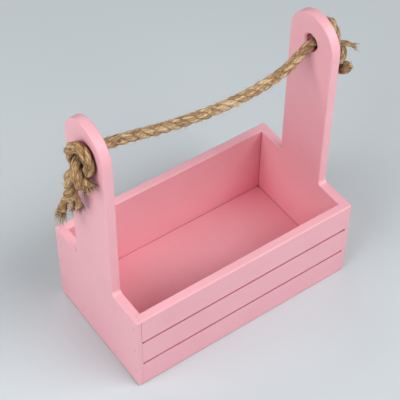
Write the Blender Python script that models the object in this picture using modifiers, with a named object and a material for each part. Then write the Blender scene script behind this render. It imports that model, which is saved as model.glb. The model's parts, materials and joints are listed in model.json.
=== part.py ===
"""Small carry box of painted board with a rope handle.

Two end boards rise to round tops and carry the rope. Grooved side boards sit in
rabbets of the end boards, and a floor lies between the four walls. Brads hold it all.

Units are metres. X runs along the box, the front faces -Y, and +Z is up. The origin is
on the ground under the middle of the box.
"""

import math

import bmesh
import bpy
from mathutils import Vector

# Box
BOX_LENGTH = 0.250          # over the outer faces of the end boards
BOX_DEPTH = 0.141           # over the outer faces of the side boards
WALL_HEIGHT = 0.097
END_BOARD = 0.010           # board thicknesses
SIDE_BOARD = 0.0095
FLOOR_BOARD = 0.010
FLOOR_RISE = 0.005          # ground to the underside of the floor
CORNER_LIP = 0.005          # end board left outside each rabbet
EASED_EDGE = 0.0015
FIT_GAP = 0.0003

# Uprights
UPRIGHT_WIDTH = 0.060
HOLE_HEIGHT = 0.258         # rope hole, and centre of the round top
SHOULDER_FILLET = 0.004

# Grooves of the side boards
SLATS = 3
GROOVE_WIDTH = 0.0026
GROOVE_DEPTH = 0.003

# Brads
BRAD_LENGTH = 0.025
BRAD_SHANK = 0.0014
BRAD_HEAD = 0.0022
BRAD_HEAD_HEIGHT = 0.0008
BRAD_POINT = 0.002
BRAD_SET = 0.0006           # head below the board's face
CORNER_BRAD_DROP = 0.012    # wall top to the first corner brad
SIDE_BRAD_SPACING = 0.075   # floor brads through a side board
END_BRAD_SPACING = 0.060    # floor brads through an end board

# Rope
ROPE_DIAMETER = 0.009
HOLE_PLAY = 0.007           # hole diameter beyond the rope's

# The handle's hang: share of the half span from the middle, and rope diameters below the holes' axis.
SPAN_ROUTE = (
    (-1.0, 0.34), (-0.985, 0.34), (-0.97, 0.34), (-0.952, 0.34), (-0.90, 0.36), (-0.838, 0.45),
    (-0.74, 0.71), (-0.633, 1.04), (-0.51, 1.48), (-0.378, 1.91), (-0.25, 2.27), (-0.115, 2.57),
    (0.025, 2.83), (0.164, 2.99), (0.30, 3.01), (0.44, 2.91), (0.56, 2.69), (0.674, 2.3), (0.78, 1.69),
    (0.87, 0.91), (0.925, 0.45), (0.952, 0.34), (0.97, 0.335), (0.985, 0.34), (1.0, 0.34),
)
# The overhand knot, in rope diameters from the hole's centre on the outer face: out, front, up.
# It starts inside the hole, where the rope lies on the lower edge. The right knot's top is looser.
KNOT_START = (
    (-0.33, 0.0, -0.34), (-0.2, 0.0, -0.34), (-0.05, 0.0, -0.34), (0.26, 0.08, -0.33), (0.72, 0.4, -0.38),
    (1.31, 0.86, -0.55), (1.67, 1.45, -1.2), (1.52, 1.7, -2.02), (0.98, 1.2, -2.68), (0.62, 0.2, -2.74),
    (0.57, -0.68, -2.08), (0.7, -0.94, -1.05),
)
KNOT_TOPS = {
    "left": (
        (0.9, -0.8, -0.02), (0.86, -0.18, 0.92), (0.66, 0.74, 1.26), (0.58, 1.56, 0.85), (0.56, 1.88, -0.05),
    ),
    "right": (
        (0.92, -0.82, 0.06), (0.9, -0.34, 1.22), (0.75, 0.46, 1.88), (0.62, 1.26, 1.56), (0.56, 1.72, 0.46),
    ),
}
KNOT_FINISH = (
    (0.57, 1.66, -0.88), (0.62, 1.0, -1.45), (1.03, 0.3, -1.67), (1.62, 0.11, -2.17), (1.78, 0.17, -3.0),
)
TAIL_ROUTES = {
    "left": ((1.72, 0.06, -4.2), (1.56, -0.44, -5.8), (1.5, -0.89, -7.1), (1.5, -1.22, -8.2)),
    "right": (
        (1.84, 0.28, -3.5), (1.95, 0.8, -4.0), (1.96, 1.55, -3.96), (1.85, 2.24, -3.36), (1.66, 2.74, -2.52),
    ),
}

# Finish of the solids
ARC_STEPS = 40              # straight pieces in the round top
FILLET_STEPS = 6
BRAD_STEPS = 10
HOLE_STEPS = 36
EDGE_SEGMENTS = 3
EDGE_ANGLE = 40             # degrees; only sharper edges are eased
FLAT_ANGLE = 1              # degrees; flatter edges are dissolved
WELD = 0.00001
CUT_MARGIN = 0.002          # how far a cutter stands out of the face it cuts
ROPE_SPACING = 0.4          # rope diameters between points of the rope
ROUTE_STEPS = 24            # samples between two route points
END_STUB = 0.0006           # short straight that squares a rope end
ROPE_ROUNDNESS = 4          # curve bevel resolution, twelve sides

PAINT_PINK = (0.76, 0.40, 0.47, 1.0)
PAINT_ROUGHNESS = 0.55
STEEL_GREY = (0.55, 0.55, 0.56, 1.0)
STEEL_ROUGHNESS = 0.35
JUTE_TAN = (0.43, 0.26, 0.10, 1.0)
JUTE_ROUGHNESS = 0.9

ROPE_HOLE = ROPE_DIAMETER + HOLE_PLAY
SIDES = {"left": -1, "right": 1}
FACES = {"front": -1, "back": 1}


def material(name, colour, roughness, metallic=0.0):
    made = bpy.data.materials.new(name)
    made.use_nodes = True
    shader = made.node_tree.nodes["Principled BSDF"]
    shader.inputs["Base Color"].default_value = colour
    shader.inputs["Roughness"].default_value = roughness
    shader.inputs["Metallic"].default_value = metallic
    return made


def place(name, data, collection, location=(0, 0, 0), rotation=(0, 0, 0)):
    made = bpy.data.objects.new(name, data)
    made.location = location
    made.rotation_euler = rotation
    collection.objects.link(made)
    return made


def finish(piece, parent, finish_material):
    piece.parent = parent
    piece.matrix_parent_inverse = parent.matrix_world.inverted()
    piece.data.materials.append(finish_material)


def cutter(made):
    made.hide_render = True
    made.display_type = 'WIRE'
    return made


def block(name, low, high, collection):
    """A box between two corners, with its origin at its middle."""
    low, high = Vector(low), Vector(high)
    shape = bmesh.new()
    bmesh.ops.create_cube(shape, size=1.0)
    bmesh.ops.scale(shape, vec=high - low, verts=shape.verts)
    mesh = bpy.data.meshes.new(name)
    shape.to_mesh(mesh)
    shape.free()
    return place(name, mesh, collection, (low + high) / 2)


def ease_edges(piece):
    bevel = piece.modifiers.new("eased edges", 'BEVEL')
    bevel.width = EASED_EDGE
    bevel.segments = EDGE_SEGMENTS
    bevel.limit_method = 'ANGLE'
    bevel.angle_limit = math.radians(EDGE_ANGLE)


def cut(piece, tool):
    hole = piece.modifiers.new(tool.name, 'BOOLEAN')
    hole.operation = 'DIFFERENCE'
    hole.solver = 'EXACT'
    hole.object = tool


def profile_mesh(name, profile):
    """A turned piece's profile: (radius, height) points down its outer side."""
    mesh = bpy.data.meshes.new(name)
    points = [(radius, 0, height) for radius, height in profile]
    mesh.from_pydata(points, [(i, i + 1) for i in range(len(points) - 1)], [])
    return mesh


def turn(piece, steps):
    screw = piece.modifiers.new("turned", 'SCREW')
    screw.steps = steps
    screw.render_steps = steps
    screw.use_merge_vertices = True
    screw.merge_threshold = WELD


def arc(centre, radius, start, end, steps):
    """Points of an arc in a plane, from one angle in degrees to another."""
    angles = [math.radians(start + (end - start) * i / steps) for i in range(steps + 1)]
    return [(centre[0] + radius * math.cos(a), centre[1] + radius * math.sin(a)) for a in angles]


def end_outline():
    """Half of the end board's edge, from the bottom corner to the crown, then its mirror image."""
    upright = UPRIGHT_WIDTH / 2
    fillet_centre = (upright + SHOULDER_FILLET, WALL_HEIGHT + SHOULDER_FILLET)
    half = [(BOX_DEPTH / 2, 0), (BOX_DEPTH / 2, WALL_HEIGHT)]
    half += arc(fillet_centre, SHOULDER_FILLET, 270, 180, FILLET_STEPS)
    half += arc((0, HOLE_HEIGHT), upright, 0, 90, ARC_STEPS // 2)
    return half + [(-x, y) for x, y in reversed(half[:-1])]


def outline_board(name, outline, thickness, collection):
    """A flat board: a filled 2D outline, extruded by half its thickness each way, as a clean mesh."""
    curve = bpy.data.curves.new(name, 'CURVE')
    curve.dimensions = '2D'
    curve.fill_mode = 'BOTH'
    curve.extrude = thickness / 2
    spline = curve.splines.new('POLY')
    spline.points.add(len(outline) - 1)
    for point, (x, y) in zip(spline.points, outline):
        point.co = (x, y, 0, 1)
    spline.use_cyclic_u = True
    drawn = place(name + " outline", curve, collection)
    evaluated = drawn.evaluated_get(bpy.context.evaluated_depsgraph_get())
    mesh = bpy.data.meshes.new_from_object(evaluated)
    bpy.data.objects.remove(drawn)
    shape = bmesh.new()
    shape.from_mesh(mesh)
    bmesh.ops.remove_doubles(shape, verts=shape.verts, dist=WELD)
    flat = math.radians(FLAT_ANGLE)
    bmesh.ops.dissolve_limit(shape, angle_limit=flat, verts=shape.verts, edges=shape.edges)
    bmesh.ops.recalc_face_normals(shape, faces=shape.faces)
    shape.to_mesh(mesh)
    shape.free()
    mesh.name = name
    return place(name, mesh, collection)


def smooth_curve(points):
    """Catmull-Rom curve through the route's points, as many short steps."""
    knots = [2 * points[0] - points[1]] + points + [2 * points[-1] - points[-2]]
    line = [points[0]]
    for a, b, c, d in zip(knots, knots[1:], knots[2:], knots[3:]):
        for i in range(1, ROUTE_STEPS + 1):
            t = i / ROUTE_STEPS
            bend = (2 * a - 5 * b + 4 * c - d) * t * t + (3 * b - a - 3 * c + d) * t ** 3
            line.append(b + ((c - a) * t + bend) / 2)
    return line


def lengths_along(line):
    run = [0.0]
    for a, b in zip(line, line[1:]):
        run.append(run[-1] + (b - a).length)
    return run


def point_at(line, run, distance):
    i = next((k for k in range(1, len(run) - 1) if run[k] >= distance), len(run) - 1)
    return line[i - 1].lerp(line[i], (distance - run[i - 1]) / (run[i] - run[i - 1]))


def rope(name, line, start, end, collection):
    """A rope tube along part of a smooth line, with square ends."""
    run = lengths_along(line)
    count = max(1, round((end - start - 2 * END_STUB) / (ROPE_SPACING * ROPE_DIAMETER)))
    inner = end - start - 2 * END_STUB
    stations = [start] + [start + END_STUB + inner * i / count for i in range(count + 1)] + [end]
    curve = bpy.data.curves.new(name, 'CURVE')
    curve.dimensions = '3D'
    curve.bevel_depth = ROPE_DIAMETER / 2
    curve.bevel_resolution = ROPE_ROUNDNESS
    curve.use_fill_caps = True
    spline = curve.splines.new('POLY')
    spline.points.add(len(stations) - 1)
    for point, station in zip(spline.points, stations):
        point.co = (*point_at(line, run, station), 1)
    return place(name, curve, collection)


def knot_point(side, point):
    """A knot route's point in the box's frame."""
    out, front, up = (ROPE_DIAMETER * value for value in point)
    return Vector((SIDES[side] * (BOX_LENGTH / 2 + out), -front, HOLE_HEIGHT + up))


for old in list(bpy.data.objects):
    bpy.data.objects.remove(old)

parts = bpy.data.collections.new("carry_box")
cutters = bpy.data.collections.new("carry_box_cutters")
for group in (parts, cutters):
    bpy.context.scene.collection.children.link(group)

box = place("box", None, parts)
handle = place("handle", None, parts, (0, 0, HOLE_HEIGHT))
bpy.context.view_layer.update()

# End boards: the outline stands in the YZ plane and its thickness lies along X.
STANDING = (math.radians(90), 0, math.radians(90))
half_length = BOX_LENGTH / 2
half_depth = BOX_DEPTH / 2
end_centre = half_length - END_BOARD / 2
end_boards = {}
for side, way in SIDES.items():
    board = outline_board(side + "_end_board", end_outline(), END_BOARD, parts)
    board.location = (way * end_centre, 0, 0)
    board.rotation_euler = STANDING
    ease_edges(board)
    for face, front in FACES.items():
        deep = way * (half_length - CORNER_LIP)
        open_side = way * (half_length - END_BOARD - CUT_MARGIN)
        inner = front * (half_depth - SIDE_BOARD - FIT_GAP)
        outer = front * (half_depth + CUT_MARGIN)
        low = (min(deep, open_side), min(inner, outer), -CUT_MARGIN)
        high = (max(deep, open_side), max(inner, outer), WALL_HEIGHT + CUT_MARGIN)
        cut(board, cutter(block(f"{side}_{face}_rabbet", low, high, cutters)))
    reach = END_BOARD / 2 + CUT_MARGIN
    flare = ROPE_HOLE / 2 + EASED_EDGE + CUT_MARGIN
    neck = END_BOARD / 2 - EASED_EDGE
    hole_profile = (
        (0, reach), (flare, reach), (ROPE_HOLE / 2, neck),
        (ROPE_HOLE / 2, -neck), (flare, -reach), (0, -reach),
    )
    hole_mesh = profile_mesh(side + "_rope_hole", hole_profile)
    centre = (way * end_centre, 0, HOLE_HEIGHT)
    bore = place(side + "_rope_hole", hole_mesh, cutters, centre, (0, math.radians(90), 0))
    turn(bore, HOLE_STEPS)
    cut(board, cutter(bore))
    finish(board, box, material(side + "_end_board_paint", PAINT_PINK, PAINT_ROUGHNESS))
    end_boards[side] = board

# Side boards: they fill the rabbets, flush with the end boards' edges, and carry the grooves.
# Each is eased along its length first, then cut square to length.
side_half = half_length - CORNER_LIP - FIT_GAP
side_uncut = side_half + CUT_MARGIN
side_boards = {}
for face, front in FACES.items():
    outer = front * half_depth
    inner = front * (half_depth - SIDE_BOARD)
    beyond = front * (half_depth + CUT_MARGIN)
    behind = front * (half_depth - SIDE_BOARD - CUT_MARGIN)
    low = (-side_uncut, min(outer, inner), 0)
    board = block(face + "_board", low, (side_uncut, max(outer, inner), WALL_HEIGHT), parts)
    ease_edges(board)
    for side, way in SIDES.items():
        ends = (way * side_half, way * (side_uncut + CUT_MARGIN))
        low = (min(ends), min(behind, beyond), -CUT_MARGIN)
        high = (max(ends), max(behind, beyond), WALL_HEIGHT + CUT_MARGIN)
        cut(board, cutter(block(f"{face}_{side}_crosscut", low, high, cutters)))
    for line in range(1, SLATS):
        height = WALL_HEIGHT * line / SLATS
        bottom = front * (half_depth - GROOVE_DEPTH)
        low = (-side_uncut - CUT_MARGIN, min(bottom, beyond), height - GROOVE_WIDTH / 2)
        high = (side_uncut + CUT_MARGIN, max(bottom, beyond), height + GROOVE_WIDTH / 2)
        cut(board, cutter(block(f"{face}_groove_{line}", low, high, cutters)))
    finish(board, box, material(face + "_board_paint", PAINT_PINK, PAINT_ROUGHNESS))
    side_boards[face] = board

# Floor: it lies between the four walls, with its edges left square.
floor_half = (half_length - END_BOARD - FIT_GAP, half_depth - SIDE_BOARD - FIT_GAP)
floor_low = (-floor_half[0], -floor_half[1], FLOOR_RISE)
floor_board = block("floor_board", floor_low, (*floor_half, FLOOR_RISE + FLOOR_BOARD), parts)
finish(floor_board, box, material("floor_board_paint", PAINT_PINK, PAINT_ROUGHNESS))

# Brads: their heads lie just under the face that they are driven through, point inwards.
shank = BRAD_SHANK / 2
head = BRAD_HEAD / 2
brad_profile = (
    (0, 0), (head, 0), (head, -BRAD_HEAD_HEIGHT), (shank, -BRAD_HEAD_HEIGHT),
    (shank, BRAD_POINT - BRAD_LENGTH), (0, -BRAD_LENGTH),
)
hole_head = -BRAD_HEAD_HEIGHT - FIT_GAP
hole_profile = (
    (0, BRAD_SET + CUT_MARGIN), (head + FIT_GAP, BRAD_SET + CUT_MARGIN), (head + FIT_GAP, hole_head),
    (shank + FIT_GAP, hole_head), (shank + FIT_GAP, BRAD_POINT - BRAD_LENGTH), (0, -BRAD_LENGTH - FIT_GAP),
)
hole_mesh = profile_mesh("brad_hole", hole_profile)
brad_steel = material("brad_steel", STEEL_GREY, STEEL_ROUGHNESS, metallic=1.0)


def drive_brad(name, location, rotation, boards):
    """One brad and the hole that it makes in the boards it joins."""
    brad = place(name, profile_mesh(name, brad_profile), parts, location, rotation)
    turn(brad, BRAD_STEPS)
    finish(brad, box, brad_steel)
    hole = place(name + "_hole", hole_mesh, cutters, location, rotation)
    turn(hole, BRAD_STEPS)
    cutter(hole)
    for board in boards:
        cut(board, hole)


floor_middle = FLOOR_RISE + FLOOR_BOARD / 2
for side, way in SIDES.items():
    driven_in = (0, way * math.radians(90), 0)
    face_x = way * (half_length - BRAD_SET)
    for face, front in FACES.items():
        row_y = front * (half_depth - SIDE_BOARD / 2)
        for number in range(SLATS):
            height = WALL_HEIGHT - CORNER_BRAD_DROP - number * WALL_HEIGHT / SLATS
            joined = (end_boards[side], side_boards[face])
            drive_brad(f"corner_brad_{side}_{face}_{number + 1}", (face_x, row_y, height), driven_in, joined)
    for number, place_y in enumerate((-END_BRAD_SPACING / 2, END_BRAD_SPACING / 2), 1):
        joined = (end_boards[side], floor_board)
        drive_brad(f"floor_brad_{side}_{number}", (face_x, place_y, floor_middle), driven_in, joined)
for face, front in FACES.items():
    driven_in = (-front * math.radians(90), 0, 0)
    face_y = front * (half_depth - BRAD_SET)
    for number, place_x in enumerate((-SIDE_BRAD_SPACING, 0, SIDE_BRAD_SPACING), 1):
        joined = (side_boards[face], floor_board)
        drive_brad(f"floor_brad_{face}_{number}", (place_x, face_y, floor_middle), driven_in, joined)

# Rope: the span hangs between the holes, and a knot outside each board holds it.
half_span = half_length + ROPE_DIAMETER * KNOT_START[0][0] - FIT_GAP
span_points = [(share * half_span, ROPE_DIAMETER * drop) for share, drop in SPAN_ROUTE]
span_line = smooth_curve([Vector((along, 0, HOLE_HEIGHT - drop)) for along, drop in span_points])
span = rope("rope_span", span_line, 0, lengths_along(span_line)[-1], parts)
finish(span, handle, material("rope_span_jute", JUTE_TAN, JUTE_ROUGHNESS))
for side, tail_route in TAIL_ROUTES.items():
    knot_route = KNOT_START + KNOT_TOPS[side] + KNOT_FINISH
    line = smooth_curve([knot_point(side, point) for point in knot_route + tail_route])
    run = lengths_along(line)
    knot_end = run[(len(knot_route) - 1) * ROUTE_STEPS]
    knot = rope(side + "_knot", line, 0, knot_end - FIT_GAP / 2, parts)
    finish(knot, box, material(side + "_knot_jute", JUTE_TAN, JUTE_ROUGHNESS))
    tail = rope(side + "_tail", line, knot_end + FIT_GAP / 2, run[-1], parts)
    finish(tail, box, material(side + "_tail_jute", JUTE_TAN, JUTE_ROUGHNESS))
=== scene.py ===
import json

import bpy
import numpy as np
from mathutils import Matrix, Vector


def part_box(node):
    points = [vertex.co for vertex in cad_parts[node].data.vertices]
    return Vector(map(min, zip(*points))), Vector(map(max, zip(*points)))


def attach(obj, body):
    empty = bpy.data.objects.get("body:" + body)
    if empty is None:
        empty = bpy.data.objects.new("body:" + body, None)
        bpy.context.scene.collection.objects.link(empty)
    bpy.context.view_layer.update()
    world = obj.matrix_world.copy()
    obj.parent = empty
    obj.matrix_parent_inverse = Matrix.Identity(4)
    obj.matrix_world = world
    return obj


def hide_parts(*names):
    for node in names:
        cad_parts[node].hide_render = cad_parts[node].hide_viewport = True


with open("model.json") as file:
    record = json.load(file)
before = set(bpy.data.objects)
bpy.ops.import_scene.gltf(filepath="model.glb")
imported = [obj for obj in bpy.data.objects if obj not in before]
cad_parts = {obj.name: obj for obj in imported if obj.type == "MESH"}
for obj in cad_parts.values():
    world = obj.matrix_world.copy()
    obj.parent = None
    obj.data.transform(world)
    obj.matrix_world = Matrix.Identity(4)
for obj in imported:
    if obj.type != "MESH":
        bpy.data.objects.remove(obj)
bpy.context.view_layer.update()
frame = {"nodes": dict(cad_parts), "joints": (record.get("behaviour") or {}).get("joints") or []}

# End boards: two tall fibreboard panels with shoulders and a round top, cut on a router.
# Their edges are sanded round, and they are sprayed with a satin pink water-based paint,
# which fills the pores and leaves a faint orange peel.
PINK_PAINT = "#F3B3BD"
PINK_THIN = "#EFAAB5"           # where the paint lies thinner
PINK_CORNER_SHADE = "#EE7D90"           # painted shade and pink bounce light in the inside corners
PINK_SHADE = "#962436"          # painted shade down in the saw kerfs, open seams and tight corners
PAINT_DRIFT = 0.045             # metres between thicker and thinner paint
DRIFT_RANGE = (0.35, 0.75)      # drift noise where the paint starts to thin and where it is thinnest
THIN_MOST = 0.55                # largest share of the thin colour
CORNER_REACH = 0.090            # how far from a corner the painted shade goes
CORNER_OPEN = (0.55, 0.2)       # open share of the surroundings where that painted shade starts and is deepest
CORNER_SHADE_MOST = 0.65
SEAM_REACH = 0.005              # slots narrower than this get the painted kerf shade
SEAM_OPEN = (0.55, 0.22)        # open share where the painted kerf shade starts and is darkest
SHADE_MOST = 0.97
OPEN_RAYS = 8                   # rays that find an open share
ORANGE_PEEL = 0.0016            # metres between the paint's ripples
PEEL_HEIGHT = 0.00003
PEEL_STRENGTH = 0.5
SATIN_ROUGH = (0.44, 0.58)      # roughness of full and of thin paint
PAINT_SPECULAR = 0.75
SOFT_ANGLE = np.radians(35)     # flatter edges are shaded as one surface
WELD = 1e-5                     # metres within which corners are joined


def linear(colour):
    """sRGB hex to linear red, green, blue and alpha."""
    channel = np.array([int(colour[i:i + 2], 16) for i in (1, 3, 5)]) / 255
    bent = np.where(channel <= 0.04045, channel / 12.92, ((channel + 0.055) / 1.055) ** 2.4)
    return (*bent.tolist(), 1.0)


def add_node(tree, kind, values=None, links=None, **settings):
    """One node with its settings, its input values and the sockets that feed it."""
    made = tree.nodes.new(kind)
    for key, value in settings.items():
        setattr(made, key, value)
    for key, value in (values or {}).items():
        made.inputs[key].default_value = value
    for key, source in (links or {}).items():
        tree.links.new(source, made.inputs[key])
    return made


def new_material(name):
    """A bare Principled material, its tree and its shader."""
    made = bpy.data.materials.new(name)
    made.use_nodes = True
    return made, made.node_tree, made.node_tree.nodes["Principled BSDF"]


def satin_paint(name, full, thin):
    """Sprayed satin paint on fibreboard: a soft sheen over a fine ripple and a slow drift of tone.
    Painted shade and pink bounce light deepen the pink in the inside corners, and painted shade
    darkens the kerfs, open seams and tight corners."""
    made, tree, shader = new_material(name)
    place = add_node(tree, "ShaderNodeTexCoord").outputs["Object"]
    drift = add_node(tree, "ShaderNodeTexNoise", {"Scale": 1 / PAINT_DRIFT, "Detail": 3.0},
                     {"Vector": place})
    thinned = add_node(tree, "ShaderNodeMapRange",
                       {"From Min": DRIFT_RANGE[0], "From Max": DRIFT_RANGE[1], "To Max": THIN_MOST},
                       {"Value": drift.outputs["Fac"]})
    tone = add_node(tree, "ShaderNodeMix", {6: linear(full), 7: linear(thin)},
                    {0: thinned.outputs["Result"]}, data_type='RGBA')
    # Painted shade and bounce light: where little is open around a corner, the paint turns a deeper pink.
    corner = add_node(tree, "ShaderNodeAmbientOcclusion", {"Distance": CORNER_REACH}, samples=OPEN_RAYS)
    corner_shade_share = add_node(tree, "ShaderNodeMapRange",
                     {"From Min": CORNER_OPEN[0], "From Max": CORNER_OPEN[1], "To Max": CORNER_SHADE_MOST},
                     {"Value": corner.outputs["AO"]})
    with_corner_shade = add_node(tree, "ShaderNodeMix", {7: linear(PINK_CORNER_SHADE)},
                    {0: corner_shade_share.outputs["Result"], 6: tone.outputs[2]}, data_type='RGBA')
    # Painted shade: kerfs, open seams and tight inside corners darken to a deep red where little around
    # them is open.
    seam = add_node(tree, "ShaderNodeAmbientOcclusion", {"Distance": SEAM_REACH}, samples=OPEN_RAYS)
    shaded = add_node(tree, "ShaderNodeMapRange",
                      {"From Min": SEAM_OPEN[0], "From Max": SEAM_OPEN[1], "To Max": SHADE_MOST},
                      {"Value": seam.outputs["AO"]})
    colour = add_node(tree, "ShaderNodeMix", {7: linear(PINK_SHADE)},
                      {0: shaded.outputs["Result"], 6: with_corner_shade.outputs[2]}, data_type='RGBA')
    peel = add_node(tree, "ShaderNodeTexNoise", {"Scale": 1 / ORANGE_PEEL, "Detail": 2.0},
                    {"Vector": place})
    ripple = add_node(tree, "ShaderNodeBump", {"Strength": PEEL_STRENGTH, "Distance": PEEL_HEIGHT},
                      {"Height": peel.outputs["Fac"]})
    gloss = add_node(tree, "ShaderNodeMapRange", {"To Min": SATIN_ROUGH[0], "To Max": SATIN_ROUGH[1]},
                     {"Value": drift.outputs["Fac"]})
    tree.links.new(colour.outputs[2], shader.inputs["Base Color"])
    tree.links.new(gloss.outputs["Result"], shader.inputs["Roughness"])
    tree.links.new(ripple.outputs["Normal"], shader.inputs["Normal"])
    shader.inputs["Specular IOR Level"].default_value = PAINT_SPECULAR
    return made


def edge_shading():
    """Node tree that welds a board's triangles and shades all but its sharp edges smooth."""
    tree = bpy.data.node_groups.new("eased_edge_shading", "GeometryNodeTree")
    tree.interface.new_socket("Geometry", in_out='INPUT', socket_type="NodeSocketGeometry")
    tree.interface.new_socket("Geometry", in_out='OUTPUT', socket_type="NodeSocketGeometry")
    start = add_node(tree, "NodeGroupInput")
    welded = add_node(tree, "GeometryNodeMergeByDistance", {"Distance": WELD},
                      {"Geometry": start.outputs[0]})
    smooth = add_node(tree, "GeometryNodeSetShadeSmooth", {"Shade Smooth": True},
                      {"Geometry": welded.outputs[0]})
    angle = add_node(tree, "GeometryNodeInputMeshEdgeAngle")
    sharp = add_node(tree, "FunctionNodeCompare", {1: float(SOFT_ANGLE)},
                     {0: angle.outputs["Unsigned Angle"]}, operation='GREATER_THAN')
    edges = add_node(tree, "GeometryNodeSetShadeSmooth", {"Shade Smooth": False},
                     {"Geometry": smooth.outputs[0], "Selection": sharp.outputs[0]}, domain='EDGE')
    add_node(tree, "NodeGroupOutput", None, {0: edges.outputs[0]})
    return tree


EDGE_SHADING = edge_shading()


def dress_board(node, finish):
    """Gives a CAD board its paint and smooth shading over its eased edges."""
    board = frame["nodes"][node]
    board.data.materials[0] = finish
    board.modifiers.new("edge shading", 'NODES').node_group = EDGE_SHADING
    weighted = board.modifiers.new("flat faces stay flat", 'WEIGHTED_NORMAL')
    weighted.keep_sharp = True


board_paint = satin_paint("satin_pink_paint", PINK_PAINT, PINK_THIN)
for node in ("left_end_board", "right_end_board"):
    dress_board(node, board_paint)

# Side boards: low walls that sit in rabbets of the end boards, nailed through them.
# Two saw kerfs along the outer face make each look like three slats; the same pink paint.
for node in ("front_board", "back_board"):
    dress_board(node, board_paint)

# Floor: one flat fibreboard panel between the four walls, nailed through them a little above the
# ground and sprayed together with the box.
dress_board("floor_board", board_paint)

# Brads: thin nails of drawn steel wire, driven through one board into the next and set below the
# face. A dab of filler covers each head and is painted over, which leaves a faint round mark on
# the ends of the box.
STEEL = "#9A9A9C"
STEEL_ROUGH = (0.25, 0.45)
DRAW_MARKS = 900.0              # drawing marks to the metre, about 1.1 mm apart
PINK_MARK_SHADE = "#E1A0AD"           # darker paint over the filled heads: a faint mark, and painted shade of a slight dimple
DAB_RADIUS = 0.0017
DAB_RISE = 0.00012
DAB_ROOT = 0.0004               # how deep the filler goes over the head
DAB_RINGS = 5
DAB_STEPS = 20                  # points round a dab


def drawn_steel():
    """Bright drawn steel wire: a metal sheen broken by faint drawing marks."""
    made, tree, shader = new_material("drawn_steel_wire")
    place = add_node(tree, "ShaderNodeTexCoord").outputs["Object"]
    mark = add_node(tree, "ShaderNodeTexNoise", {"Scale": DRAW_MARKS, "Detail": 2.0}, {"Vector": place})
    rough = add_node(tree, "ShaderNodeMapRange", {"To Min": STEEL_ROUGH[0], "To Max": STEEL_ROUGH[1]},
                     {"Value": mark.outputs["Fac"]})
    tree.links.new(rough.outputs["Result"], shader.inputs["Roughness"])
    shader.inputs["Base Color"].default_value = linear(STEEL)
    shader.inputs["Metallic"].default_value = 1.0
    return made


def put_mesh(name, points, faces, finish, body):
    """A mesh piece at the origin that rides on a body, with its material."""
    mesh = bpy.data.meshes.new(name)
    mesh.from_pydata(points.tolist(), [], faces)
    mesh.shade_smooth()
    mesh.materials.append(finish)
    piece = bpy.data.objects.new(name, mesh)
    bpy.context.scene.collection.objects.link(piece)
    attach(piece, body)
    return piece


def filler_dabs(centres, normal):
    """Shallow caps on a face: height falls with the square of the distance from each centre, and the
    rim closes to a point below."""
    normal = np.asarray(normal, float)
    across = np.roll(np.abs(normal), 1)
    along = np.cross(normal, across)
    share = np.linspace(0, 1, DAB_RINGS + 1)[1:, None, None]
    angle = np.linspace(0, 2 * np.pi, DAB_STEPS, endpoint=False)[None, :, None]
    rings = DAB_RADIUS * share * (np.cos(angle) * across + np.sin(angle) * along)
    rings = rings + DAB_RISE * (1 - share ** 2) * normal
    dab = np.vstack([DAB_RISE * normal, rings.reshape(-1, 3), -DAB_ROOT * normal])
    turn = np.arange(DAB_STEPS)
    ahead = (turn + 1) % DAB_STEPS
    start = 1 + DAB_STEPS * np.arange(DAB_RINGS)[:, None]
    inner, outer = start[:-1], start[1:]
    quads = np.stack([inner + turn, outer + turn, outer + ahead, inner + ahead], -1).reshape(-1, 4)
    crown = np.stack([np.zeros_like(turn), start[0] + turn, start[0] + ahead], -1)
    root = np.stack([np.full_like(turn, len(dab) - 1), start[-1] + ahead, start[-1] + turn], -1)
    first = len(dab) * np.arange(len(centres))[:, None, None]
    fans = (np.vstack([crown, root]) + first).reshape(-1, 3)
    points = (centres[:, None] + dab).reshape(-1, 3)
    return points, (quads + first).reshape(-1, 4).tolist() + fans.tolist()


def put_filler(name, points, faces, finish):
    """Painted filler on the box: smooth on top, with a sharp rim where it meets the board."""
    piece = put_mesh(name, points, faces, finish, "box")
    piece.data.set_sharp_from_angle(angle=float(SOFT_ANGLE))


steel = drawn_steel()
brads = [node for node in frame["nodes"] if "brad" in node]
for node in brads:
    frame["nodes"][node].data.materials[0] = steel
filler_paint = satin_paint("satin_pink_paint_on_filler", PINK_THIN, PINK_PAINT)
# The dabs on the end faces get a darker paint: a faint mark, and painted shade of a slight dimple.
mark_paint = satin_paint("satin_pink_paint_on_sunk_filler", PINK_MARK_SHADE, PINK_THIN)
half_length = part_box("right_end_board")[1].x
half_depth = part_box("back_board")[1].y
DAB_FACES = {                   # the face's outward way, what the names of its brads hold, finish
    "left": ((-1, 0, 0), "_left_", mark_paint),
    "right": ((1, 0, 0), "_right_", mark_paint),
    "front": ((0, -1, 0), "floor_brad_front", filler_paint),
    "back": ((0, 1, 0), "floor_brad_back", filler_paint),
}
for side, (normal, brad_name, finish) in DAB_FACES.items():
    middles = np.array([np.mean(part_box(brad), axis=0) for brad in brads if brad_name in brad])
    centres = np.where(normal, np.multiply(normal, (half_length, half_depth, 0)), middles)
    put_filler(f"{side}_brad_filler", *filler_dabs(centres, normal), finish)

# Joint filler: the corner joints are rubbed with filler before painting, so that the rims run on
# unbroken. At the left front the filler has fallen out of the top slat and sunk below it.
SIDES = {"left": -1, "right": 1}
FACES = {"front": -1, "back": 1}
OPEN_JOINT = ("left", "front")
BOARD_EASE = 0.0015             # rounding of the boards' edges
LIP = 0.005                     # end board outside each joint
JOINT = 0.0003                  # width of the joint
FILLER_WIDE = 0.0011
FILLER_OVER = 0.0006            # how far the filler runs past the ends of a joint
FILLER_RISE = 0.00002
FILLER_SINK = -0.00015
FILLER_FOOT = 0.0004            # bare joint below the filler
FILLER_ROOT = 0.0004            # how deep the filler goes
BEAD_STEPS = 5                  # points across a bead
EASE_STEPS = 7                  # sections round an eased edge
WALL_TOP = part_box("front_board")[1].z
SUNK_TOP = WALL_TOP * 2 / 3     # lower edge of the top slat


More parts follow.
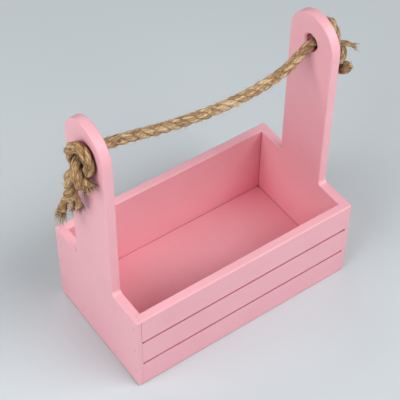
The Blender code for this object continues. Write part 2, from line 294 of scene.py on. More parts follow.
def closed_tube(grid):
    """Points and faces of a tube on a stations-by-around grid, closed by a fan to a middle point at
    each end."""
    stations, around = grid.shape[:2]
    row, column = np.meshgrid(np.arange(stations - 1), np.arange(around), indexing="ij")
    beside = (column + 1) % around
    corners = (row * around + column, row * around + beside,
               (row + 1) * around + beside, (row + 1) * around + column)
    first = np.arange(around)
    after = (first + 1) % around
    last = (stations - 1) * around
    middle = np.full(around, stations * around)
    start_fan = np.stack([middle, after, first], 1)
    end_fan = np.stack([middle + 1, first + last, after + last], 1)
    points = np.vstack([grid.reshape(-1, 3), grid[0].mean(0), grid[-1].mean(0)])
    return points, np.stack(corners, -1).reshape(-1, 4), np.vstack([start_fan, end_fan])


def filler_bead(path, normals, across, rise=FILLER_RISE):
    """A bead carried along a path: across its width the top has a slight crown or hollow that goes
    with the square of the distance from the middle, and the root lies flat in the joint."""
    share = np.linspace(-0.5, 0.5, BEAD_STEPS)[None, :, None]
    top = path[:, None] + share * across + rise * (1 - 4 * share ** 2) * normals[:, None]
    root = path[:, None] + share[:, ::-1] * across - FILLER_ROOT * normals[:, None]
    grid = np.concatenate([top, root], axis=1)
    if np.cross(across, path[1] - path[0]) @ normals[0] < 0:
        grid = grid[:, ::-1]
    points, quads, fans = closed_tube(grid)
    return points, quads.tolist() + fans.tolist()


def over_edge(start, face, bottom):
    """Path over a wall's rounded top edge and its normals, as flat and height: along the top, round
    a quarter circle and down the face."""
    quarter = np.linspace(0, np.pi / 2, EASE_STEPS)
    bend = np.stack([face - BOARD_EASE + BOARD_EASE * np.sin(quarter),
                     WALL_TOP - BOARD_EASE + BOARD_EASE * np.cos(quarter)], 1)
    path = np.vstack([[start, WALL_TOP], bend, [face, bottom]])
    tilt = np.concatenate([[0], quarter, [np.pi / 2]])
    return path, np.stack([np.sin(tilt), np.cos(tilt)], 1)


end_thick = half_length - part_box("right_end_board")[0].x
inner_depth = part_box("back_board")[0].y
for side, way in SIDES.items():
    for face, front in FACES.items():
        opened = (side, face) == OPEN_JOINT
        bottom = WALL_TOP - BOARD_EASE - FILLER_FOOT if opened else FILLER_FOOT
        flat, tilt = over_edge(inner_depth - FILLER_OVER, half_depth, bottom)
        end_joint = way * (half_length - LIP - JOINT / 2)
        path = np.stack([np.full(len(flat), end_joint), front * flat[:, 0], flat[:, 1]], 1)
        normals = np.stack([np.zeros(len(flat)), front * tilt[:, 0], tilt[:, 1]], 1)
        bead = filler_bead(path, normals, np.array([FILLER_WIDE, 0, 0]))
        put_filler(f"{side}_{face}_joint_filler", *bead, filler_paint)
        if opened:
            path = np.array([[end_joint, front * half_depth, z] for z in (SUNK_TOP, FILLER_FOOT)])
            facing = np.array([[0, front, 0]] * 2)
            bead = filler_bead(path, facing, np.array([FILLER_WIDE, 0, 0]), FILLER_SINK)
            put_filler("sunk_joint_filler", *bead, filler_paint)
        flat, tilt = over_edge(LIP - FILLER_OVER, end_thick, WALL_TOP - BOARD_EASE - JOINT)
        shoulder = front * (inner_depth + BOARD_EASE / 2)
        path = np.stack([way * (half_length - flat[:, 0]), np.full(len(flat), shoulder), flat[:, 1]], 1)
        normals = np.stack([-way * tilt[:, 0], np.zeros(len(flat)), tilt[:, 1]], 1)
        bead = filler_bead(path, normals, np.array([0, BOARD_EASE + 2 * FILLER_OVER, 0]))
        put_filler(f"{side}_{face}_shoulder_filler", *bead, filler_paint)

# Rope handle: 9 mm three-strand jute, right-hand laid, hanging slack between the two holes.
# Each strand is a bundle of yarns spun the other way, so the yarns run nearly along the rope.
ROPE = 0.009
ROPE_OVER_STRANDS = 0.0103      # fibre stands a little proud of the nominal size
LAY = 0.033                     # one turn of a strand
STRANDS = 3
STRAND_SHARE = 0.67             # strand diameter as a share of the rope's
STRAND_SWELL = 0.05             # share by which a strand thickens and thins along the rope
SWELL_LENGTH = 0.018
YARNS = 9                       # yarns round one strand
YARN_TURNS = 1.5                # yarn turns back for each turn of the lay
YARN_RISE = 0.00018
YARN_WANDER = 0.35              # how far the yarns wander, in yarn spacings
WANDER_LENGTH = 0.03
WANDER_SEED = 9                 # added to the rope's seed
STRAND_NUMBERS = 14.0           # yarn numbers from one strand to the next
RIDGE_MEAN = 0.64               # mean height of a rounded ridge, taken off so that the size holds
WAVE_SPREAD = (0.6, 1.9)        # shortest and longest sine of a slow wave, as shares of its length
WAVE_GAIN = 1.6                 # brings the mean of its sines back to about one
LOBE_STEPS = 30                 # points across one strand
STATION = 0.0006                # metres between sections
ROUTE_STEPS = 24                # curve points from one point of a route to the next
FIRST_SIDE = (0.1, 0.2, 1.0)    # a way that no route starts along
SPAN_PHASE = 0.4
SPAN_SEED = 11
JUTE_LIGHT = "#F4DBB0"
JUTE_MID = "#BC956A"
JUTE_DARK = "#6A4B32"
JUTE_CREASE_SHADE = "#302013"
JUTE_STOPS = (0.25, 0.5, 0.82)  # tones at which the dark, the middle and the light colour stand
YARN_WIDE = 0.0016              # metres across one yarn
FIBRE_WIDTH = 0.0004            # drawn coarser than real fibre, so that it shows
FIBRE_SLOWER = 0.12             # change along a yarn, as a share of the change across it
FIBRE_RELIEF = 0.0005
STREAK_RANGE = (0.33, 0.67)     # fibre noise of the darkest and the lightest streak
PATCH = 0.006                   # metres between lighter and darker places
YARN_TONE = 0.3                 # weights of the yarn, the streak and the patch in the tone
STREAK_TONE = 0.5
PATCH_TONE = 0.3
CREASE_MOST = 0.9               # painted shade at the bottom of the creases between strands
CREASE_TOP = 0.5                # share of a strand's height at which that shade ends
BRIDGED_RANGE = (0.3, 0.6)      # patch noise where loose fibre bridges a crease and where none does
BRIDGED_LEAST = 0.35            # share of its shade that is left where fibre does
HALF_YARN = 0.5                 # yarn spacings from a yarn's crown to the valley beside it
VALLEY_START = 0.34             # and to where the valley's shade starts
VALLEY_MOST = 0.55
HOLLOW = 0.014                  # reach of the painted shade between turns
HOLLOW_OPEN = (0.8, 0.15)       # open share where that shade starts and is darkest
HOLLOW_MOST = 0.85
JUTE_ROUGH = 0.85
JUTE_SPECULAR = 0.2
JUTE_SHEEN = 0.1
HALF_SPAN = round(-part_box("rope_span")[0].x, 5)  # to the hundredth of a millimetre
HOLE_HEIGHT = frame["joints"][0]["pos_m"][2]     # the handle swings about the axis of the holes
SPAN_ROUTE = (                  # share of the half span, rope diameters below the holes' axis
    (-1.0, 0.34), (-0.985, 0.34), (-0.97, 0.34), (-0.952, 0.34), (-0.90, 0.36), (-0.838, 0.45),
    (-0.74, 0.71), (-0.633, 1.04), (-0.51, 1.48), (-0.378, 1.91), (-0.25, 2.27), (-0.115, 2.57),
    (0.025, 2.83), (0.164, 2.99), (0.30, 3.01), (0.44, 2.91), (0.56, 2.69), (0.674, 2.3), (0.78, 1.69),
    (0.87, 0.91), (0.925, 0.45), (0.952, 0.34), (0.97, 0.335), (0.985, 0.34), (1.0, 0.34),
)


def length_along(path):
    """Length of a path from its start to each of its points."""
    return np.concatenate([[0], np.cumsum(np.linalg.norm(np.diff(path, axis=0), axis=1))])


def unit(vectors):
    """Vectors brought to a length of one."""
    return vectors / np.linalg.norm(vectors, axis=-1, keepdims=True)


def smooth_route(points, spacing):
    """Catmull-Rom curve through given points, read again at equal steps of its length."""
    p = np.asarray(points, float)
    held = np.vstack([2 * p[0] - p[1], p, 2 * p[-1] - p[-2]])
    a, b, c, d = (held[i:len(held) - 3 + i, None, :] for i in range(4))
    t = np.linspace(0, 1, ROUTE_STEPS, endpoint=False)[None, :, None]
    square = (2 * a - 5 * b + 4 * c - d) * t ** 2
    cube = (3 * b - a - 3 * c + d) * t ** 3
    line = b + 0.5 * ((c - a) * t + square + cube)
    line = np.vstack([line.reshape(-1, 3), p[-1:]])
    run = length_along(line)
    even = np.linspace(0, run[-1], int(round(run[-1] / spacing)) + 1)
    return np.stack([np.interp(even, run, line[:, k]) for k in range(3)], axis=1)


def carried_frame(path):
    """Unit vectors along a path and square to it: each station's side is the last one with the path's
    turn taken out."""
    ahead = unit(np.gradient(path, axis=0))
    side = np.zeros_like(path)
    last = np.cross(ahead[0], FIRST_SIDE)
    for i, way in enumerate(ahead):
        last = unit(last - way * (last @ way))
        side[i] = last
    return ahead, side, np.cross(ahead, side)


def outward(path, angle):
    """Unit vectors square to a path: each station's side turned about the path by its row of angles."""
    side, lift = carried_frame(path)[1:]
    return np.cos(angle)[..., None] * side[:, None] + np.sin(angle)[..., None] * lift[:, None]


def skin(path, out, reach):
    """Surface points round a path: each station's place plus its reach along the outward vectors."""
    return path[:, None] + out * reach[..., None]


def slow_wave(along, seed, wavelength, terms=5):
    """A smooth irregular wave between about -1 and 1: a few sines of unlike length."""
    draw = np.random.default_rng(seed)
    rates = 2 * np.pi / (wavelength * draw.uniform(*WAVE_SPREAD, terms))
    phases = draw.uniform(0, 2 * np.pi, terms)
    return np.sin(along[..., None] * rates + phases).mean(-1) * WAVE_GAIN


def laid_rope(path, diameter, phase, seed, lay=LAY):
    """Three-strand rope: the section is the outline of three circles round the path, turned by the
    lay, with rounded yarn ridges that wind back along each strand."""
    run = length_along(path)[:, None]
    strand = STRAND_SHARE * diameter / 2
    offset = diameter / 2 - strand
    lobe = (np.arange(LOBE_STEPS) / LOBE_STEPS - 0.5) * 2 * np.pi / STRANDS
    local = np.tile(lobe, STRANDS)[None, :]
    which = np.repeat(np.arange(STRANDS), LOBE_STEPS)[None, :]
    waves = np.stack([slow_wave(run[:, 0], seed + k, SWELL_LENGTH) for k in range(STRANDS)], 1)
    swell = 1 + STRAND_SWELL * waves[:, which[0]]
    reach = offset * np.cos(local) + np.sqrt((strand * swell) ** 2 - (offset * np.sin(local)) ** 2)
    round_strand = np.arctan2(reach * np.sin(local), reach * np.cos(local) - offset)
    yarn = (round_strand + YARN_TURNS * 2 * np.pi * run / lay) * YARNS / (2 * np.pi)
    yarn = yarn + STRAND_NUMBERS * which + YARN_WANDER * slow_wave(run, seed + WANDER_SEED, WANDER_LENGTH)
    depth = (reach - reach.min()) / (reach.max() - reach.min())
    reach = reach + YARN_RISE * (np.abs(np.cos(np.pi * yarn)) - RIDGE_MEAN)
    angle = local + which * 2 * np.pi / STRANDS + 2 * np.pi * run / lay + phase
    marks = {"yarn": yarn, "along": np.broadcast_to(run, yarn.shape), "depth": depth}
    return outward(path, angle), reach, marks


def put_tubes(name, tubes, finish, body):
    """One mesh piece from several closed tubes, each a grid of points with its yarn marks. Their cut
    ends count as deep, so they get the painted shade of the creases."""
    points, faces, count = [], [], 0
    marks = {"yarn": [], "along": [], "depth": []}
    for grid, tube_marks in tubes:
        tube_points, quads, fans = closed_tube(grid)
        points.append(tube_points)
        faces += (quads + count).tolist() + (fans + count).tolist()
        count += len(tube_points)
        for key, values in tube_marks.items():
            at_ends = [0.0, 0.0] if key == "depth" else [values[0].mean(), values[-1].mean()]
            marks[key].append(np.concatenate([values.reshape(-1), at_ends]))
    piece = put_mesh(name, np.vstack(points), faces, finish, body)
    for key, values in marks.items():
        layer = piece.data.attributes.new(key, 'FLOAT', 'POINT')
        layer.data.foreach_set("value", np.concatenate(values).astype(np.float32))
    return piece


def jute(name, light, mid, dark):
    """Dry natural jute, spun and laid: streaks of fibre along each yarn, yarns of unlike tone, painted
    shade in the creases between yarns and strands and in the hollows between turns, and no gloss."""
    made, tree, shader = new_material(name)
    place = add_node(tree, "ShaderNodeTexCoord").outputs["Object"]
    yarn = add_node(tree, "ShaderNodeAttribute", attribute_name="yarn").outputs["Fac"]
    along = add_node(tree, "ShaderNodeAttribute", attribute_name="along").outputs["Fac"]
    depth = add_node(tree, "ShaderNodeAttribute", attribute_name="depth").outputs["Fac"]
    across = add_node(tree, "ShaderNodeMath", {1: YARN_WIDE}, {0: yarn}, operation='MULTIPLY')
    where = add_node(tree, "ShaderNodeCombineXYZ", None, {"X": across.outputs[0], "Y": along})
    stretched = add_node(tree, "ShaderNodeMapping", {"Scale": (1.0, FIBRE_SLOWER, 1.0)},
                         {"Vector": where.outputs[0]})
    fibre = add_node(tree, "ShaderNodeTexNoise",
                     {"Scale": 1 / FIBRE_WIDTH, "Detail": 3.0, "Roughness": 0.7},
                     {"Vector": stretched.outputs[0]}).outputs["Fac"]
    streak = add_node(tree, "ShaderNodeMapRange",
                      {"From Min": STREAK_RANGE[0], "From Max": STREAK_RANGE[1]}, {"Value": fibre})
    number = add_node(tree, "ShaderNodeMath", None, {0: yarn}, operation='ROUND')
    unlike = add_node(tree, "ShaderNodeTexWhiteNoise", None, {"W": number.outputs[0]},
                      noise_dimensions='1D')
    patch = add_node(tree, "ShaderNodeTexNoise", {"Scale": 1 / PATCH, "Detail": 2.0},
                     {"Vector": place}).outputs["Fac"]
    tone = add_node(tree, "ShaderNodeMath", {1: YARN_TONE}, {0: unlike.outputs["Value"]},
                    operation='MULTIPLY')
    tone = add_node(tree, "ShaderNodeMath", {1: STREAK_TONE},
                    {0: streak.outputs["Result"], 2: tone.outputs[0]}, operation='MULTIPLY_ADD')
    tone = add_node(tree, "ShaderNodeMath", {1: PATCH_TONE}, {0: patch, 2: tone.outputs[0]},
                    operation='MULTIPLY_ADD')
    ramp = add_node(tree, "ShaderNodeValToRGB", None, {0: tone.outputs[0]})
    stops = ramp.color_ramp.elements
    stops[0].position = JUTE_STOPS[0]
    stops[0].color = linear(dark)
    stops[1].position = JUTE_STOPS[2]
    stops[1].color = linear(light)
    stops.new(JUTE_STOPS[1]).color = linear(mid)
    # Painted shade: creases between strands, valleys between yarns and hollows between turns darken
    # towards a near-black brown.
    crease = add_node(tree, "ShaderNodeMapRange",
                      {"From Max": CREASE_TOP, "To Min": CREASE_MOST, "To Max": 0.0}, {"Value": depth})
    bridged = add_node(tree, "ShaderNodeMapRange",
                       {"From Min": BRIDGED_RANGE[0], "From Max": BRIDGED_RANGE[1],
                        "To Min": BRIDGED_LEAST}, {"Value": patch})
    broken = add_node(tree, "ShaderNodeMath", None,
                      {0: crease.outputs["Result"], 1: bridged.outputs["Result"]}, operation='MULTIPLY')
    valley = add_node(tree, "ShaderNodeMath", {1: HALF_YARN}, {0: yarn}, operation='PINGPONG')
    between = add_node(tree, "ShaderNodeMapRange",
                       {"From Min": VALLEY_START, "From Max": HALF_YARN, "To Max": VALLEY_MOST},
                       {"Value": valley.outputs[0]})
    hollow = add_node(tree, "ShaderNodeAmbientOcclusion", {"Distance": HOLLOW}, samples=OPEN_RAYS)
    hollow_shade = add_node(tree, "ShaderNodeMapRange",
                    {"From Min": HOLLOW_OPEN[0], "From Max": HOLLOW_OPEN[1], "To Max": HOLLOW_MOST},
                    {"Value": hollow.outputs["AO"]})
    shade = add_node(tree, "ShaderNodeMath", None,
                     {0: broken.outputs[0], 1: between.outputs["Result"]}, operation='MAXIMUM')
    shade = add_node(tree, "ShaderNodeMath", None,
                     {0: shade.outputs[0], 1: hollow_shade.outputs["Result"]}, operation='MAXIMUM')
    colour = add_node(tree, "ShaderNodeMix", {7: linear(JUTE_CREASE_SHADE)},
                      {0: shade.outputs[0], 6: ramp.outputs["Color"]}, data_type='RGBA')
    relief = add_node(tree, "ShaderNodeBump", {"Strength": 1.0, "Distance": FIBRE_RELIEF},
                      {"Height": fibre})
    tree.links.new(colour.outputs[2], shader.inputs["Base Color"])
    tree.links.new(relief.outputs["Normal"], shader.inputs["Normal"])
    shader.inputs["Roughness"].default_value = JUTE_ROUGH
    shader.inputs["Specular IOR Level"].default_value = JUTE_SPECULAR
    shader.inputs["Sheen Weight"].default_value = JUTE_SHEEN
    return made


jute_rope = jute("laid_jute", JUTE_LIGHT, JUTE_MID, JUTE_DARK)
span_route = [(share * HALF_SPAN, 0.0, HOLE_HEIGHT - ROPE * drop) for share, drop in SPAN_ROUTE]
span_path = smooth_route(span_route, STATION)
span_out, reach, marks = laid_rope(span_path, ROPE_OVER_STRANDS, SPAN_PHASE, SPAN_SEED)
span_surface = skin(span_path, span_out, reach)
rope_span = put_tubes("rope_handle", [(span_surface, marks)], jute_rope, "handle")
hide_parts("rope_span")

# Knots: the rope is drawn through each hole and tied in an overhand knot, pulled tight against
# the board. Where two turns press on each other they flatten along the plane midway between.
LEFT_END_LIGHT = "#E6C694"       # the left end's jute is a darker copy of the rope's
LEFT_END_MID = "#AE8558"
LEFT_END_DARK = "#624329"
KNOT_ROPE = 0.0106              # a pulled knot opens the lay a little
KNOT_LAY = 0.034                # and lengthens it
KNOT_OPENS = 0.008              # rope length over which it opens
KNOT_STATION = 0.0007
KNOT_LAP = 4                    # stations by which a knot runs into its loose end
KNOT_PHASE = 1.1
KNOT_SEED = 23
BOARD_CLEAR = 0.0002
NEIGHBOUR = 0.011               # rope length that never counts as another turn
PRESSED_SHORT = 0.985           # turns end just short of the plane between them
REACH_FREE = 1.0                # metres, where nothing stands in the way
REACH_LEAST = 0.002
TINY = 1e-6
KNOT_START = (                  # rope diameters out, front and up from the hole on the outer face
    (-0.33, 0.0, -0.34), (-0.2, 0.0, -0.34), (-0.05, 0.0, -0.34), (0.26, 0.08, -0.33),
    (0.72, 0.4, -0.38), (1.31, 0.86, -0.55), (1.67, 1.45, -1.2), (1.52, 1.7, -2.02),
    (0.98, 1.2, -2.68), (0.62, 0.2, -2.74), (0.57, -0.68, -2.08), (0.7, -0.94, -1.05),
)
KNOT_TOPS = {
    "left": (
        (0.9, -0.8, -0.02), (0.86, -0.18, 0.92), (0.66, 0.74, 1.26), (0.58, 1.56, 0.85),
        (0.56, 1.88, -0.05),
    ),
    "right": (
        (0.92, -0.82, 0.06), (0.9, -0.34, 1.22), (0.75, 0.46, 1.88), (0.62, 1.26, 1.56),
        (0.56, 1.72, 0.46),
    ),
}
KNOT_FINISH = (
    (0.57, 1.66, -0.88), (0.62, 1.0, -1.45), (1.03, 0.3, -1.67), (1.62, 0.11, -2.17),
    (1.78, 0.17, -3.0),
)
TAIL_ROUTES = {
    "left": ((1.72, 0.06, -4.2), (1.56, -0.44, -5.8), (1.5, -0.89, -7.1), (1.5, -1.22, -8.2)),
    "right": (
        (1.84, 0.28, -3.5), (1.95, 0.8, -4.0), (1.96, 1.55, -3.96), (1.85, 2.24, -3.36),
        (1.66, 2.74, -2.52),
    ),
}


def knot_points(side, points):
    """Rope diameters out, front and up from a hole, to the box's frame."""
    out, front, up = ROPE * np.asarray(points, float).T
    return np.stack([side * (half_length + out), -front, HOLE_HEIGHT + up], axis=1)


def pressed(path, out, reach, side):
    """Reach of each surface point, cut back to the plane midway to any other turn and to the board."""
    run = length_along(path)
    apart = path[None] - path[:, None]
    square = (apart ** 2).sum(-1)
    other = np.abs(run[:, None] - run[None]) > NEIGHBOUR
    towards = np.einsum("iak,ijk->iaj", out, apart)
    midway = square[:, None] / (2 * np.maximum(towards, TINY))
    limit = np.where(other[:, None] & (towards > TINY), midway, REACH_FREE)
    reach = np.minimum(reach, limit.min(-1) * PRESSED_SHORT)
    clear = side * path[:, None, 0] - half_length
    inward = np.maximum(-side * out[..., 0], TINY)
    room = np.where(clear > 0, (clear - BOARD_CLEAR) / inward, REACH_FREE)
    return np.minimum(reach, np.maximum(room, REACH_LEAST))


# The left knot and its loose ends get a darker copy of the jute.
handled_jute = jute("handled_jute", LEFT_END_LIGHT, LEFT_END_MID, LEFT_END_DARK)
end_finish = {"left": handled_jute, "right": jute_rope}
knot_surfaces = {}
tail_paths = {}
for name, side in SIDES.items():
    route = KNOT_START + KNOT_TOPS[name] + KNOT_FINISH
    path = smooth_route(knot_points(side, route + TAIL_ROUTES[name]), KNOT_STATION)
    last = int(np.argmin(((path - knot_points(side, route[-1:])) ** 2).sum(1)))
    tail_paths[name] = path[last:]
    path = path[:last + KNOT_LAP]
    opened = np.clip(length_along(path) / KNOT_OPENS, 0, 1)
    width = (ROPE + (KNOT_ROPE - ROPE) * opened) / KNOT_ROPE
    out, reach, marks = laid_rope(path, KNOT_ROPE, KNOT_PHASE, KNOT_SEED, KNOT_LAY)
    surface = skin(path, out, pressed(path, out, reach * width[:, None], side))
    knot = put_tubes(name + "_overhand_knot", [(surface, marks)], end_finish[name], "box")
    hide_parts(name + "_knot")
    knot_surfaces[name] = (surface, out)

# Loose ends: beyond each knot the rope runs out to a cut end. The left one has come unlaid into
# its three strands, whose yarns fray out; a strand has worked loose from each knot as well.
STRAND_STEPS = 40               # points round a loose strand
STRAND_TWIST = 0.045            # one turn of the yarns round it
STRAND_UNEVEN = 0.08            # share by which it thickens and thins
UNEVEN_LENGTH = 0.012
STRAND_FLAT = 0.10              # share by which it is flattened
FLAT_TURN = 300                 # phase of its flats, in radians to the metre
LOOSE_RIDGE = 1.4               # yarns stand prouder than in the laid rope
SEED_NUMBERS = 20.0             # yarn numbers from one seed to the next
TIP_END = 1.02                  # share of a strand's length where its tip would come to a point
TIP_SLOPE = 12
TIP_LEAST = 0.25                # share of the radius that is left at the end
FRAY_THICK = 0.00032
FRAY_ROOT = 0.003               # how deep in the strand a frayed yarn starts
FRAY_FILL = 0.9                 # share of the strand's radius with yarns
FRAY_STRAY = 0.3                # random part of their spread
FRAY_LENGTHS = (0.6, 1.15)      # shortest and longest, as shares of the given length
FRAY_CURL = 0.25
FIBRE_POINTS = 5                # sections of a fibre
FIBRE_SIDES = 3
FIBRE_DROOP = 0.25              # part of its curl that hangs down
FIBRE_TAPER = 0.8
FIBRE_SIZES = (0.7, 1.3)
FIBRE_NUMBERS = 500             # yarn numbers to draw a fibre's tone from
UNLAID = 0.020                  # length over which the left end's strands still turn together
UNLAID_STOPS = 6                # points of that turn
UNLAID_PHASE = 2.4
UNLAID_NEAR = 0.0024            # from the rope's middle to a strand's, where it comes unlaid
UNLAID_GROW = 0.0012            # and how much further at the end of that length
UNLAID_RADIUS = 0.0026
LEFT_STRANDS = (                # ends in rope diameters; last radius; fray count, length, spread
    (((1.75, -1.1, -6.4), (1.9, -1.5, -7.6), (2.1, -1.65, -8.6)), 0.0040, (110, 0.008, 0.45)),
    (((1.5, -0.37, -5.86), (1.4, -0.69, -7.06), (1.35, -0.85, -7.75)), 0.0030, (50, 0.003, 0.40)),
    (((1.35, 0.2, -5.16), (1.1, 0.2, -6.15), (0.95, 0.12, -7.0)), 0.0031, (60, 0.003, 0.40)),
)
LEFT_SEED = 41
LEFT_FRAY_SEED = 61
RIGHT_PHASE = 2.0
RIGHT_SEED = 31
RIGHT_FRAY = (70, 0.001, 0.5)
RIGHT_FRAY_RADIUS = 0.0042
RIGHT_FRAY_SEED = 71
WORKED_LOOSE = {                # route in rope diameters; first and last radius; fray
    "left": (((1.2, 1.0, -1.25), (1.06, 1.55, -1.62), (0.96, 2.0, -2.05), (0.9, 2.25, -2.35)),
             (0.0024, 0.0048), (140, 0.004, 0.6)),
    "right": (((1.3, 1.62, -0.12), (1.7, 2.06, -0.06), (2.1, 2.5, -0.13), (2.35, 2.76, -0.23)),
              (0.0030, 0.0018), (36, 0.004, 0.5)),
}
WORKED_SEED = 51
WORKED_FRAY_SEED = 81


def yarn_strand(path, radius, seed):
    """A loose strand: a tube that follows the given radii, with rounded yarn ridges that wind round
    it and a slow unevenness."""
    run = length_along(path)[:, None]
    angle = np.linspace(0, 2 * np.pi, STRAND_STEPS, endpoint=False)[None]
    yarn = angle * YARNS / (2 * np.pi) - YARNS * run / STRAND_TWIST + SEED_NUMBERS * seed
    uneven = 1 + STRAND_UNEVEN * slow_wave(run, seed, UNEVEN_LENGTH)
    uneven = uneven + STRAND_FLAT * np.sin(2 * angle + FLAT_TURN * run + seed)
    ridge = LOOSE_RIDGE * YARN_RISE * (np.abs(np.cos(np.pi * yarn)) - RIDGE_MEAN)
    marks = {"yarn": yarn, "along": np.broadcast_to(run, yarn.shape), "depth": np.ones_like(yarn)}
    return skin(path, outward(path, angle), radius[:, None] * uneven + ridge), marks


def loose_fibres(roots, ways, lengths, thick, curl, seed):
    """Fine fibres: thin three-sided tubes that start along their way and bend aside with the square
    of the distance, narrowing to the tip."""
    draw = np.random.default_rng(seed)
    count = len(roots)
    ways = unit(ways)
    side = unit(np.cross(ways, draw.normal(size=(count, 3))))
    lift = np.cross(ways, side)
    t = np.linspace(0, 1, FIBRE_POINTS)[None, :, None]
    long = lengths[:, None, None]
    bend = curl * draw.normal(size=(count, 1, 3)) - np.array([0, 0, FIBRE_DROOP * curl])
    line = roots[:, None] + long * (ways[:, None] * t + bend * t ** 2)
    angle = np.linspace(0, 2 * np.pi, FIBRE_SIDES, endpoint=False)[:, None]
    ring = np.cos(angle) * side[:, None] + np.sin(angle) * lift[:, None]
    size = thick * (1 - FIBRE_TAPER * t) * draw.uniform(*FIBRE_SIZES, (count, 1, 1))
    grids = line[:, :, None] + ring[:, None] * size[..., None]
    number = draw.integers(0, FIBRE_NUMBERS, (count, 1, 1))
    yarn = np.broadcast_to(number, grids.shape[:3]).astype(float)
    along = np.broadcast_to(long * t, grids.shape[:3])
    return [(grid, {"yarn": y, "along": a, "depth": np.ones_like(a)})
            for grid, y, a in zip(grids, yarn, along)]


def frayed_end(path, radius, count, length, spread, seed):
    """A brush of yarn ends that fan out of a strand's end: the further from its middle they start, the
    further they lean out."""
    draw = np.random.default_rng(seed)
    ahead, side, lift = carried_frame(path)
    around = draw.uniform(0, 2 * np.pi, count)[:, None]
    share = np.sqrt(draw.uniform(0, 1, count))[:, None]
    out = np.cos(around) * side[-1] + np.sin(around) * lift[-1]
    roots = path[-1] - FRAY_ROOT * ahead[-1] + FRAY_FILL * radius * share * out
    stray = FRAY_STRAY * spread * draw.normal(size=(count, 3))
    lengths = length * draw.uniform(*FRAY_LENGTHS, count) + FRAY_ROOT
    ways = ahead[-1] + spread * share * out + stray
    return loose_fibres(roots, ways, lengths, FRAY_THICK, FRAY_CURL, seed)


def swelling(path, start, end):
    """Strand radius that grows evenly from the first value to the last and closes at the tip."""
    share = np.linspace(0, 1, len(path))
    return (start + (end - start) * share) * np.clip((TIP_END - share) * TIP_SLOPE, TIP_LEAST, 1)


main = tail_paths["left"]
run = length_along(main)
stops = np.interp(np.linspace(0, UNLAID, UNLAID_STOPS), run, np.arange(len(run))).round().astype(int)
apart = (UNLAID_NEAR + UNLAID_GROW * run / UNLAID)[:, None]
tubes = []
for k, (ends, radius, fray) in enumerate(LEFT_STRANDS):
    turn = (2 * np.pi * run / KNOT_LAY + 2 * np.pi * k / STRANDS + UNLAID_PHASE)[:, None]
    together = main + apart * outward(main, turn)[:, 0]
    path = smooth_route(np.vstack([together[stops], knot_points(SIDES["left"], ends)]), KNOT_STATION)
    tubes.append(yarn_strand(path, swelling(path, UNLAID_RADIUS, radius), LEFT_SEED + k))
    tubes += frayed_end(path, radius, *fray, LEFT_FRAY_SEED + k)
left_tail = put_tubes("left_loose_end", tubes, handled_jute, "box")
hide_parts("left_tail")

path = tail_paths["right"]
out, reach, marks = laid_rope(path, ROPE_OVER_STRANDS, RIGHT_PHASE, RIGHT_SEED)
tubes = [(skin(path, out, reach), marks)]
tubes += frayed_end(path, RIGHT_FRAY_RADIUS, *RIGHT_FRAY, RIGHT_FRAY_SEED)
right_tail = put_tubes("right_loose_end", tubes, jute_rope, "box")
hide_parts("right_tail")

for k, (name, (route, radii, fray)) in enumerate(WORKED_LOOSE.items()):
    path = smooth_route(knot_points(SIDES[name], route), KNOT_STATION)
    tubes = [yarn_strand(path, swelling(path, *radii), WORKED_SEED + k)]
    tubes += frayed_end(path, radii[1], *fray, WORKED_FRAY_SEED + k)
    put_tubes(name + "_loose_strand", tubes, end_finish[name], "box")

# Fuzz: stray fibre ends that stand off the rope all along it, as on any natural fibre rope.
# Spinning never binds them in altogether, and each leans along the rope one way or the other.
FUZZ_THICK = 0.00009            # thicker than real fibre, so that it shows
FUZZ_LENGTHS = (0.0015, 0.005)
FUZZ_ROOT = 0.0003              # how deep in the rope a fibre starts
FUZZ_OUT = 0.55                 # parts of a fibre's way that go out, along the rope and anywhere
FUZZ_ALONG = 0.8
FUZZ_STRAY = 0.35
FUZZ_CURL = 0.35
FUZZ_MARGIN = 2                 # stations without fuzz at each end
SPAN_FUZZ = 1500
KNOT_FUZZ = 600
SPAN_FUZZ_SEED = 91
KNOT_FUZZ_SEED = 92


def surface_fuzz(surface, out, count, seed):
    """Fibres rooted at random points of a rope's surface, leaning along it either way."""
    draw = np.random.default_rng(seed)
    row = draw.integers(FUZZ_MARGIN, surface.shape[0] - FUZZ_MARGIN, count)
    column = draw.integers(0, surface.shape[1], count)
    along = unit(surface[row + 1, column] - surface[row - 1, column]) * draw.choice([-1, 1], (count, 1))
    stray = FUZZ_STRAY * draw.normal(size=(count, 3))
    ways = FUZZ_OUT * out[row, column] + FUZZ_ALONG * along + stray
    roots = surface[row, column] - FUZZ_ROOT * out[row, column]
    lengths = draw.uniform(*FUZZ_LENGTHS, count)
    return loose_fibres(roots, ways, lengths, FUZZ_THICK, FUZZ_CURL, seed)


fibres = surface_fuzz(span_surface, span_out, SPAN_FUZZ, SPAN_FUZZ_SEED)
span_fuzz = put_tubes("rope_handle_fuzz", fibres, jute_rope, "handle")
for name in SIDES:
    fibres = surface_fuzz(*knot_surfaces[name], KNOT_FUZZ, KNOT_FUZZ_SEED)
    put_tubes(name + "_knot_fuzz", fibres, end_finish[name], "box")

